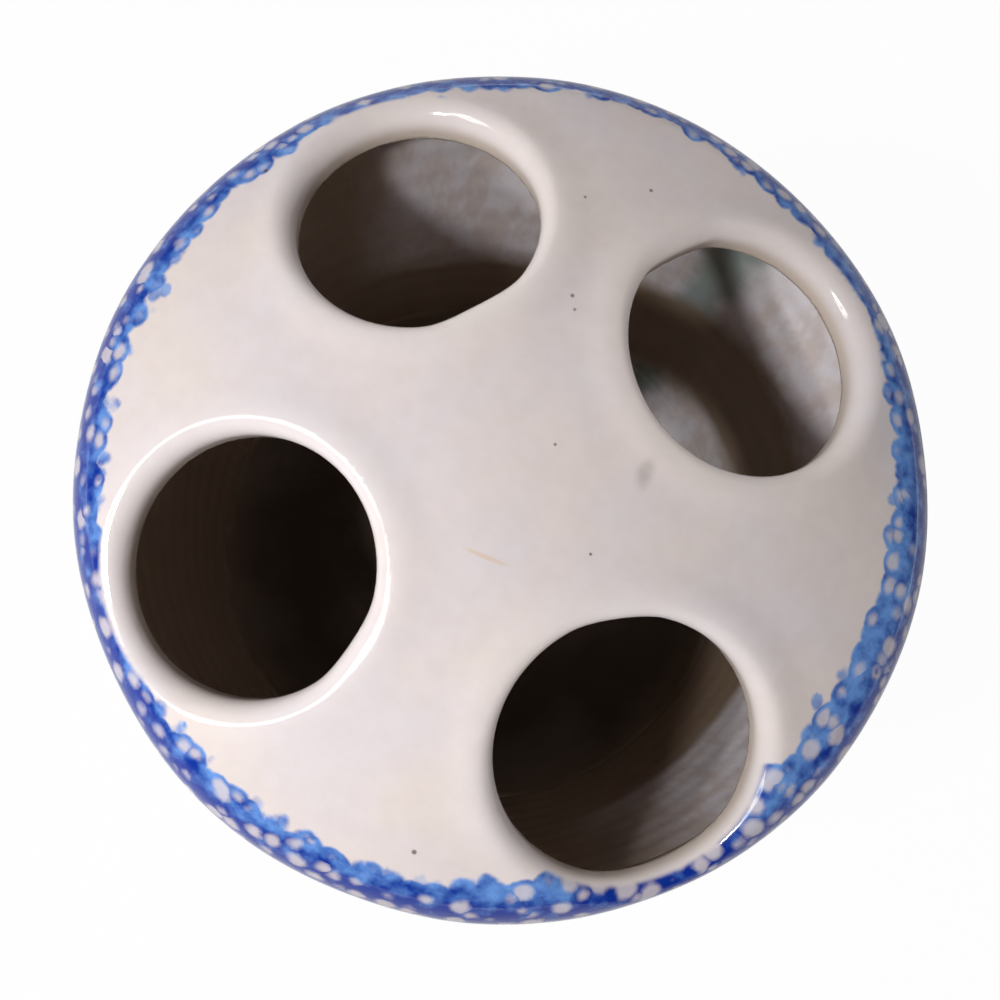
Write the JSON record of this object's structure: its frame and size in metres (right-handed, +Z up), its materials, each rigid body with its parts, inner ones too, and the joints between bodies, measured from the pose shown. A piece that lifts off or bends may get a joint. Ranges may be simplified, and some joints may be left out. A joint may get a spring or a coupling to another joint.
{
  "type": "toothbrush holder",
  "caption": "Round glazed stoneware pot with a domed top and rolled brush holes over one hollow chamber, on a bare foot ring.",
  "frame": {"origin": "centre of the foot ring's underside, at the middle of the pot", "axes": "+Z up along the pot's axis, out of the domed top; the brush holes lie near the diagonals of X and Y"},
  "size_m": [0.092, 0.092, 0.1],
  "materials": {
    "cream_glaze": "gloss",
    "sponged_glaze": "gloss",
    "bare_clay": "matte"
  },
  "bodies": {
    "root": {"domed_top": "cream_glaze", "side_wall": "sponged_glaze", "base_floor": "cream_glaze", "foot_ring": "bare_clay"}
  },
  "joints": []
}
